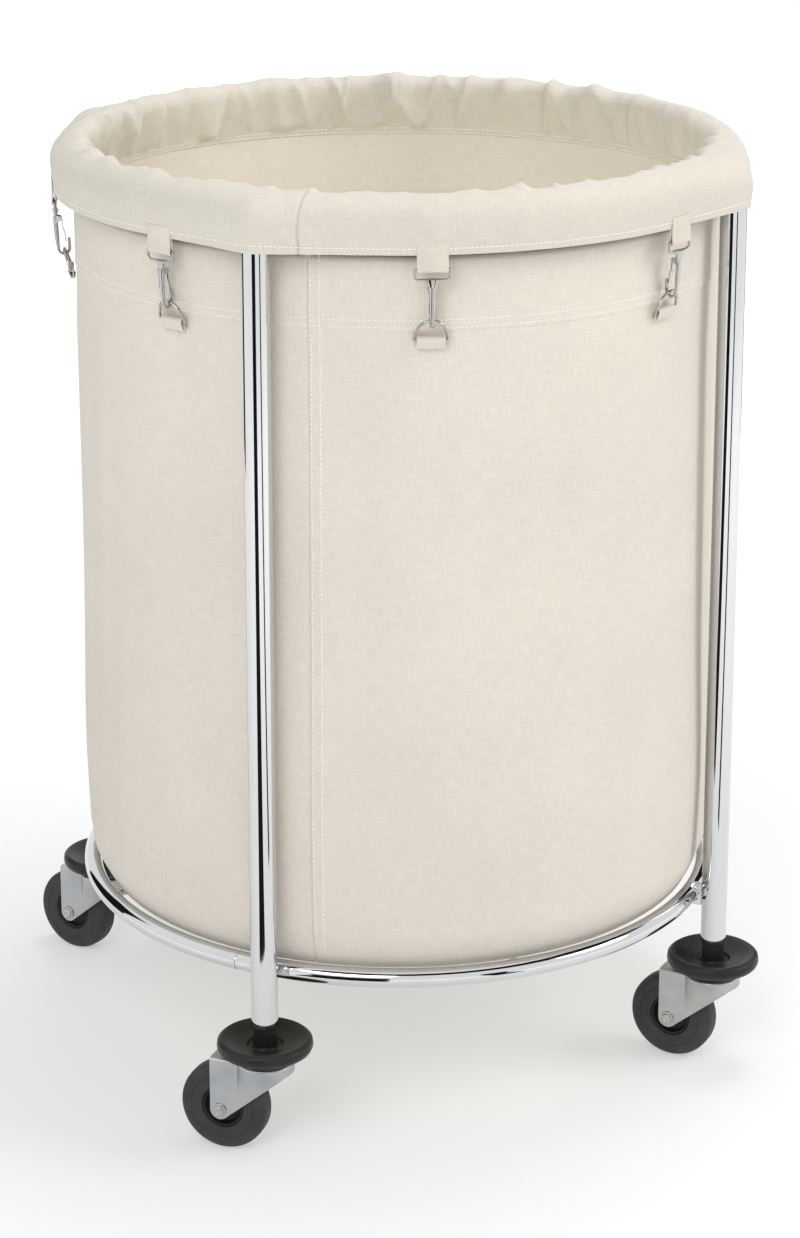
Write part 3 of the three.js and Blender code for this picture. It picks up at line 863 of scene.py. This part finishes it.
def liner_wall():
    heights = wall_heights()
    rows = len(heights) - 1
    bottom = heights[0]

    def place_at(c, r):
        z = heights[round(r * rows)]
        return around(column_angle(c), wall_radius(column_angle(c), z), z)

    def uv_at(c, r):
        along = math.radians(column_angle(c) + 180) * LINER_R
        return (along * MM, (heights[round(r * rows)] - bottom) * MM)

    shape, uv = cloth_grid(720, rows, place_at, uv_at)
    wall = piece("bag_wall", shape, CANVAS, ROOT, ("liner_wall",), crease=70, uv=uv)
    thicken(wall, CLOTH)


def liner_floor():
    """The floor rests on the crossed rods and sags a little between them."""

    def sag(x, y):
        between = min(1, abs(x) / 90) * min(1, abs(y) / 90)
        rim = 1 - (math.hypot(x, y) / FLOOR_R) ** 4
        return -2.6 * between * max(0, rim)

    def place_at(c, r):
        point = around(angle_of(c), max(0.4, FLOOR_R * r), FLOOR_Z)
        point.z += sag(point.x, point.y) + 0.5 * wander(angle_of(c), r * 2, 2.0, 51) * r
        return point

    def uv_at(c, r):
        point = around(angle_of(c), FLOOR_R * r, 0)
        return (point.x * MM, point.y * MM)

    shape, uv = cloth_grid(180, 40, place_at, uv_at)
    floor = piece("bag_floor", shape, FLOOR_CANVAS, ROOT, ("liner_floor",), uv=uv)
    thicken(floor, CLOTH, offset=0)
    welt = [around(k, LINER_EDGE_R - 1.4, LINER_BOTTOM - 0.2) for k in range(0, 360, 2)]
    piece("bag_foot_welt", swept(welt, 1.5, 10, closed=True), WEBBING, ROOT)


def crossing_folds(angle, t):
    """Rounded folds that lean both ways and cross, from the inner seam up to the crest."""
    a = math.radians(angle)
    total = 0.0
    for count, lean, seed in ((42, 6.4, 61), (33, -7.3, 67), (20, 2.4, 71)):
        drift = 1.5 * wander(angle, t * 0.8, 4.0, seed)
        wave = 1.09 - math.hypot(math.sin(0.5 * (count * a + lean * t + drift * 2.2)), 0.09)
        strength = 0.45 + 1.1 * max(0, wander(angle, t * 0.6, 3.3, seed + 100) + 0.35)
        total += strength * wave**1.7
    return total


def cuff_lines():
    """The cuff's outer side, from its inner hem over the upper ring and down to its own hem,
    first as it hangs between the posts and then over a post."""
    ring_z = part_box("top_ring")[1].z / MM - RING_TUBE_R
    inside = [(LINER_R - 0.8, HEM_Z - 5), (LINER_R - 1.6, HEM_Z), (271.2, 768.5), (268.8, 775),
              (266.8, 781), (265.0, 787), (263.6, 793.5)]
    for angle in range(182, 70, -18):
        a = math.radians(angle)
        inside.append((RING_R + ROLL_R * math.cos(a), ring_z + ROLL_R * math.sin(a)))
    rest = [(281.0, 809.8), (284.8, 808.0), (289.0, 804.8), (292.3, 800.3), (294.4, 795), (295.3, 789),
            (294.9, 783), (293.8, 777), (292.8, 772), (292.2, 768.6), (292.0, CUFF_BOTTOM)]
    over = [(281.5, 811.2), (287.5, 811.4), (294.8, 809.6), (302.6, 805.8), (308.8, 800), (313.0, 792.5),
            (314.2, 785), (313.6, 779), (312.3, 773.5), (311.3, 769), (310.9, CUFF_BOTTOM)]
    return [[p.xy for p in smooth_path([Vector((r, z, 0)) for r, z in inside + outside], 4)]
            for outside in (rest, over)]


def post_push(angle):
    """1 over a post, falling to 0 where the cuff reaches its rest radius."""
    reach = math.acos(CUFF_REST_R / CUFF_R)
    away = abs((angle + 360) % 90 - 45)
    draped = CUFF_REST_R / math.cos(max(0, reach - math.radians(away)))
    push = (draped - CUFF_REST_R) / (CUFF_R - CUFF_REST_R)
    return push - 0.06 * math.exp(-((away / 1.2) ** 2))


def pucker(angle, t):
    """How far the cuff's cloth stands out from its line. t is 0 at the inner hem, 1 at the outer."""
    inner = step(t, 0.02, 0.14) * (1 - step(t, 0.40, 0.60))
    out = 5.6 * crossing_folds(angle, t) - 2.6 + 1.2 * wander(angle, t * 3.0, 22.0, 17)
    out = max(out, -3.4 + 2.4 * step(t, 0.12, 0.26))
    outer = 1.9 * wander(angle, t * 1.4, 5.0, 41) + 0.9 * wander(angle, t * 2.0, 13.0, 43)
    return inner * out + step(t, 0.42, 0.66) * outer * (1 - 0.6 * step(t, 0.88, 1))


def cuff_seam(angle, t):
    """The upright seam across the cuff's outer side: a pinched line."""
    across = (angle - SEAM_ANGLE) * math.radians(1) * CUFF_R
    return -1.8 * math.exp(-((across / 0.9) ** 2)) * step(t, 0.40, 0.5)


def cuff_lengths(line):
    lengths = [0.0]
    for before, after in zip(line, line[1:]):
        lengths.append(lengths[-1] + (after - before).length)
    return lengths


def cuff_point(lines, lengths, angle, i):
    """The outer side of the cuff at a row of its line, with its hem folded to a double edge."""
    push = post_push(angle)
    rows = (i, max(0, i - 1), min(len(lengths) - 1, i + 1))
    here, before, after = (lines[0][k] * (1 - push) + lines[1][k] * push for k in rows)
    t = lengths[i] / lengths[-1]
    normal = Vector((before.y - after.y, after.x - before.x)).normalized()
    out = pucker(angle, t) + cuff_seam(angle, t)
    from_hem = lengths[-1] - lengths[i]
    out += 0.5 * (1 - step(from_hem, 5.2, 6.4)) - 0.4 * math.exp(-((from_hem - 5.0) ** 2))
    return around(angle, here.x + normal.x * out, here.y + normal.y * out)


def finer_at_hem(lines):
    """More rows in the last part of each line, so that the folded hem shows."""
    return [line[:-5] + [p.xy for p in smooth_path([q.to_3d() for q in line[-5:]], 4)] for line in lines]


def liner_cuff():
    lines = finer_at_hem(cuff_lines())
    lengths = cuff_lengths(lines[0])
    rows = len(lengths) - 1

    def place_at(c, r):
        return cuff_point(lines, lengths, column_angle(c), round(r * rows))

    def uv_at(c, r):
        along = math.radians(column_angle(c) + 180) * CUFF_R
        return (along * MM, lengths[round(r * rows)] * MM)

    shape, uv = cloth_grid(960, rows, place_at, uv_at)
    cuff = piece("cuff", shape, CUFF_CANVAS_PAINTED_SHADE, ROOT, ("liner_cuff",), crease=75, uv=uv)
    thicken(cuff, CUFF_CLOTH, offset=1, even=False)
    stitch_row = max(i for i in range(rows) if lengths[-1] - lengths[i] >= 5.0)
    line = [cuff_point(lines, lengths, angle_of(k / 1080), stitch_row) for k in range(1081)]
    stitches("cuff_hem_stitches", [p + around(angle_of(k / 1080), 0.15, 0) for k, p in enumerate(line)])


# ------------------------------------------------------------------ stitching


def stitches(name, path, length=2.9, gap=1.1, radius=0.42):
    """Thread laid along a path in short stitches, as one piece."""
    shapes = []
    travelled, following = 0.0, 0.0
    for a, b in zip(path, path[1:]):
        span = (b - a).length
        along = (b - a).normalized()
        while following <= travelled + span:
            start = a + along * (following - travelled)
            spots = [start + along * length * f for f in (0, 0.2, 0.8, 1)]
            shapes.append(swept(spots, [radius * 0.35, radius, radius, radius * 0.35], 5))
            following += length + gap
        travelled += span
    piece(name, joined(shapes), THREAD, ROOT)


def round_path(radius_at, z, count=720):
    return [around(angle_of(k / count), radius_at(angle_of(k / count)), z) for k in range(count + 1)]


def all_stitching():
    for label, z in (("lower", BAND_BOTTOM + 2.6), ("upper", BAND_BOTTOM + 8.4)):
        stitches(f"band_stitches_{label}", round_path(lambda a, z=z: wall_radius(a, z) + 0.15, z))
    for label, z, inset in (("lower", HEM_Z - 3.6, 1.2), ("upper", HEM_Z + 0.4, 2.0)):
        stitches(f"hem_stitches_{label}", round_path(lambda a, r=LINER_R - inset: r, z))
    for label, offset in (("one", 2.2), ("two", 9.8)):
        turn_by = math.degrees(offset / LINER_R)
        line = [around(SEAM_ANGLE + turn_by, wall_radius(SEAM_ANGLE + turn_by, z) + 0.1, z)
                for z in range(LINER_BOTTOM + 16, HEM_Z, 4)]
        stitches(f"seam_stitches_{label}", line)


# ------------------------------------------------------------------ snaps


def web_loop_path(out, up, end, lean, bar_r):
    """Down the front, round the bar and up the back, or the other way up where end is below."""
    way = 1 if end > up else -1
    clear = up + way * (bar_r + 5)
    near = up + way * 2
    line = [(out + 0.8 + lean, end), (out + 1.0 + lean * 0.5, clear), (out + bar_r * 0.9, near)]
    line += [(out + bar_r * math.cos(math.radians(a)), up - way * bar_r * math.sin(math.radians(a)))
             for a in range(10, 171, 20)]
    line += [(out - bar_r * 0.9, near), (out - 1.0 + lean * 0.5, clear), (out - 0.8 + lean, end)]
    return smooth_path([(0, -a, b) for a, b in line], 3)


def eye_path():
    corner = 4.4
    line = filleted(
        [(0, 0, 0), (EYE_HALF_WIDTH, 0, 1.2), (EYE_HALF_WIDTH, -EYE_DROP, corner),
         (-EYE_HALF_WIDTH, -EYE_DROP, corner), (-EYE_HALF_WIDTH, 0, 1.2), (0, 0, 0)], 6)
    return [(a, 0, b) for a, b in line[:-1]]


def hook_shape():
    """The eye, a flared neck, the shank and the hook, in the snap's own frame."""
    bend = [(-HOOK_BEND_R + HOOK_BEND_R * math.cos(math.radians(a)),
             -HOOK_LENGTH - HOOK_BEND_R * math.sin(math.radians(a))) for a in range(0, 181, 20)]
    line = [(0.3, -EYE_DROP - 6), (0.5, -EYE_DROP - 14), (0.3, -HOOK_LENGTH + 9), *bend,
            (-2 * HOOK_BEND_R, -HOOK_LENGTH + HOOK_TIP - 1.2),
            (-2 * HOOK_BEND_R, -HOOK_LENGTH + HOOK_TIP)]
    path = smooth_path([(0, -a, b) for a, b in line], 4)
    thin_to = -HOOK_LENGTH + (HOOK_LENGTH - EYE_DROP - 14) * 0.7
    radii = [HOOK_WIRE_R + 0.9 * step(p.z, -HOOK_LENGTH - 1, thin_to) for p in path]
    radii[-2:] = [HOOK_WIRE_R * 0.85, HOOK_WIRE_R * 0.4]
    last = max(i for i, p in enumerate(path) if -p.y > -HOOK_BEND_R)
    radii[last:-2] = [HOOK_WIRE_R] * len(radii[last:-2])
    neck = [(0, 0, -EYE_DROP + 0.6), (0, 0, -EYE_DROP - 0.8), (0, -0.1, -EYE_DROP - 3),
            (0, -0.3, -EYE_DROP - 6), (0, -0.4, -EYE_DROP - 9), (0, -0.5, -EYE_DROP - 12)]
    widths = [6.4, 5.4, 3.9, 3.2, 2.8, 2.5]
    flare = swept(neck, widths, 20, flat=0.5, across=(1, 0, 0))
    ear_x = GATE_WIDTH / 2 + 0.8
    outline = filleted(
        [(-0.5, -GATE_TOP + 3, 0), (-GATE_IN - 1, -GATE_TOP + 1.8, 1.4),
         (-GATE_IN - 1.6, -GATE_TOP - 1.6, 1.4), (0.6, -GATE_TOP - 3.4, 0)], 4)
    ears = []
    for x in (-ear_x, ear_x):
        face = [(x - 0.5, -a, b) for a, b in outline] + [(x + 0.5, -a, b) for a, b in outline]
        n = len(outline)
        faces = [tuple(range(n)), tuple(reversed(range(n, 2 * n)))]
        faces += [(k, n + k, n + (k + 1) % n, (k + 1) % n) for k in range(n)]
        ears.append((face, [tuple(reversed(f)) for f in faces]))
    pin = swept([(-ear_x - 0.9, GATE_IN, -GATE_TOP), (ear_x + 0.9, GATE_IN, -GATE_TOP)], 0.8, 12)
    wire = swept(path, radii, 16, flat=0.8, across=(1, 0, 0))
    return joined([swept(eye_path(), EYE_WIRE_R, 12, closed=True), flare, wire, pin, *ears])


def gate_shape():
    """A sprung leaf, bowed a little, rolled round its pin at the top."""
    end_out = -2 * HOOK_BEND_R + HOOK_WIRE_R + 1.1
    line = [(-GATE_IN - 1.2, -GATE_TOP + 0.9), (-GATE_IN - 1.5, -GATE_TOP - 1.2),
            (-GATE_IN - 1.6, -GATE_TOP - 8), (end_out + 0.5, -GATE_END + 8), (end_out, -GATE_END)]
    return ribbon(smooth_path([(0, -a, b) for a, b in line], 4), GATE_WIDTH, 0.8)


def dee_path():
    turns = [math.pi * k / 24 for k in range(25)]
    line = [(DEE_HALF_WIDTH * math.cos(a), DEE_HEIGHT * math.sin(a)) for a in turns]
    bar = [(DEE_HALF_WIDTH * (1 - k / 5), 0) for k in range(1, 10)]
    return [(a, 0, b) for a, b in line + [(-a, b) for a, b in bar]]


def snap(number):
    hinge = joints[f"gate_hinge_{number}"]["pos_m"]
    angle = math.degrees(math.atan2(hinge[0], -hinge[1]))
    face_out = turn(angle, "Z")
    hung = face_out @ shift(0, -EYE_R, EYE_Z) @ turn(HOOK_TILT, "X")
    piece(f"snap_body_{number}", hook_shape(), NICKEL, ROOT,
          (f"snap_hook_{number}",), hung)
    piece(f"gate_leaf_{number}", gate_shape(), NICKEL, f"gate_{number}",
          (f"snap_gate_{number}",), hung)
    sewn = face_out @ shift(0, -DEE_BAR_R, DEE_BAR_Z) @ turn(DEE_TILT, "X")
    piece(f"dee_{number}", swept(dee_path(), DEE_WIRE_R, 14, closed=True), NICKEL, ROOT,
          (f"dee_ring_{number}",), sewn)
    strap = ribbon(web_loop_path(EYE_R, EYE_Z, CUFF_BOTTOM + 9, 0.9, 1.9), STRAP_WIDTH, 1.2)
    tab = ribbon(web_loop_path(DEE_BAR_R, DEE_BAR_Z, DEE_BAR_Z - 6.4, -2.6, 2.1), TAB_WIDTH, 1.2)
    piece(f"cuff_strap_{number}", strap, WEBBING, ROOT, place=face_out)
    piece(f"band_tab_{number}", tab, WEBBING, ROOT, place=face_out)


# ------------------------------------------------------------------ studio


def studio_floor():
    mesh = bpy.data.meshes.new("studio_floor")
    half = FLOOR_HALF
    corners = [(-half, -half, 0), (half, -half, 0), (half, half, 0), (-half, half, 0)]
    mesh.from_pydata(corners, [], [(0, 1, 2, 3)])
    mesh.materials.append(floor_look())
    floor = bpy.data.objects.new("studio_floor", mesh)
    bpy.context.scene.collection.objects.link(floor)


def flag(name, low_azimuth, high_azimuth, near, far, low_z, high_z):
    """A black card, curved round the cart, that only reflections see. Distances are metres."""
    rows, columns = 6, 12
    points, faces = [], []
    for r in range(rows + 1):
        t = r / rows
        for c in range(columns + 1):
            azimuth = low_azimuth + (high_azimuth - low_azimuth) * c / columns
            points.append(around(azimuth, near + (far - near) * t, low_z + (high_z - low_z) * t))
    for r in range(rows):
        for c in range(columns):
            a = r * (columns + 1) + c
            faces.append((a, a + 1, a + columns + 2, a + columns + 1))
    mesh = bpy.data.meshes.new(name)
    mesh.from_pydata(points, [], faces)
    look = Look("studio_black", Base_Color=(0.01, 0.01, 0.012, 1), Roughness=1.0, Specular_IOR_Level=0.0)
    mesh.materials.append(look.material)
    card = bpy.data.objects.new(name, mesh)
    bpy.context.scene.collection.objects.link(card)
    card.visible_camera = False
    card.visible_diffuse = False
    card.visible_shadow = False
    card.visible_transmission = False


def bag_light():
    """Light thrown back up by the pale inside of the bag."""
    data = bpy.data.lights.new("bag_bounce", "AREA")
    data.shape = "DISK"
    data.size = 0.4
    data.energy = 0.66
    data.color = (1.0, 0.96, 0.88)
    light = bpy.data.objects.new("bag_bounce", data)
    light.location = BAG_LIGHT_AT
    light.rotation_euler = (math.pi, 0, 0)
    light.visible_camera = False
    light.visible_glossy = False
    bpy.context.scene.collection.objects.link(light)


def area_light(name, azimuth, elevation, distance, size, power, tint=(1, 1, 1)):
    data = bpy.data.lights.new(name, "AREA")
    data.shape = "DISK"
    data.size = size
    data.energy = power
    data.color = tint
    light = bpy.data.objects.new(name, data)
    e = math.radians(elevation)
    light.location = around(azimuth, distance * math.cos(e), 0.4 + distance * math.sin(e))
    light.rotation_mode = "QUATERNION"
    light.rotation_quaternion = (Vector((0, 0, 0.4)) - light.location).to_track_quat("-Z", "Y")
    bpy.context.scene.collection.objects.link(light)
    return light


def sky():
    """White behind the cart and in reflections, and dimmer as light."""
    world = bpy.data.worlds.new("studio")
    world.use_nodes = True
    tree = world.node_tree
    light = tree.nodes["Background"]
    light.inputs["Color"].default_value = (0.985, 0.99, 1.0, 1)
    light.inputs["Strength"].default_value = SKY_LIGHT
    white = tree.nodes.new("ShaderNodeBackground")
    white.inputs["Color"].default_value = (1, 1, 1, 1)
    seen = tree.nodes.new("ShaderNodeLightPath")
    mixed = tree.nodes.new("ShaderNodeMixShader")
    direct = tree.nodes.new("ShaderNodeMath")
    direct.operation = "MAXIMUM"
    tree.links.new(seen.outputs["Is Camera Ray"], direct.inputs[0])
    tree.links.new(seen.outputs["Is Glossy Ray"], direct.inputs[1])
    tree.links.new(direct.outputs[0], mixed.inputs["Fac"])
    tree.links.new(light.outputs[0], mixed.inputs[1])
    tree.links.new(white.outputs[0], mixed.inputs[2])
    tree.links.new(mixed.outputs[0], tree.nodes["World Output"].inputs["Surface"])
    bpy.context.scene.world = world


def studio():
    studio_floor()
    sky()
    area_light("key", 56, 35, 3.4, 1.6, 38, (1.0, 0.985, 0.96))
    area_light("front", -42, 35, 3.4, 1.8, 36)
    area_light("top", 120, 77, 3.2, 1.4, 34)
    bag_light()
    flag("flag_floor", -52, -26, 0.63, 4.5, 0.004, 0.004)
    flag("flag_upright", -52, -26, 4.5, 4.5, 0.004, 1.1)
    flag("flag_side_floor", 4, 13, 0.70, 4.5, 0.004, 0.004)
    flag("flag_side_upright", 4, 13, 4.5, 4.5, 0.004, 1.1)
    flag("flag_left", -158, -128, 2.2, 2.2, 0.004, 1.6)
    flag("flag_right", 112, 140, 2.2, 2.2, 0.004, 1.6)
    flag("flag_overhead", -60, 100, 1.6, 1.1, 1.5, 2.1)
    bpy.context.scene.view_settings.view_transform = "Standard"


def camera():
    data = bpy.data.cameras.new("camera")
    data.lens = CAMERA_LENS
    data.sensor_width = 36
    data.shift_y = CAMERA_SHIFT_Y
    data.clip_start, data.clip_end = 0.05, 60
    made = bpy.data.objects.new("camera", data)
    made.location = CAMERA_AT
    made.rotation_euler = (math.radians(90 - CAMERA_PITCH), 0, math.radians(CAMERA_AZIMUTH))
    bpy.context.scene.collection.objects.link(made)
    bpy.context.scene.camera = made


# ------------------------------------------------------------------ the cart

camera()
upper_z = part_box("top_ring")[1].z / MM - RING_TUBE_R
lower_z = centre_of("bottom_ring").z
ring("top_ring", upper_z, LUG_HEIGHT / 2 + 1)
ring("bottom_ring", lower_z, 0)
rods()
for corner_name in CORNERS:
    post(corner_name)
    caster(corner_name)
liner_wall()
liner_floor()
liner_cuff()
all_stitching()
for snap_number in range(1, SNAP_COUNT + 1):
    snap(snap_number)
studio()
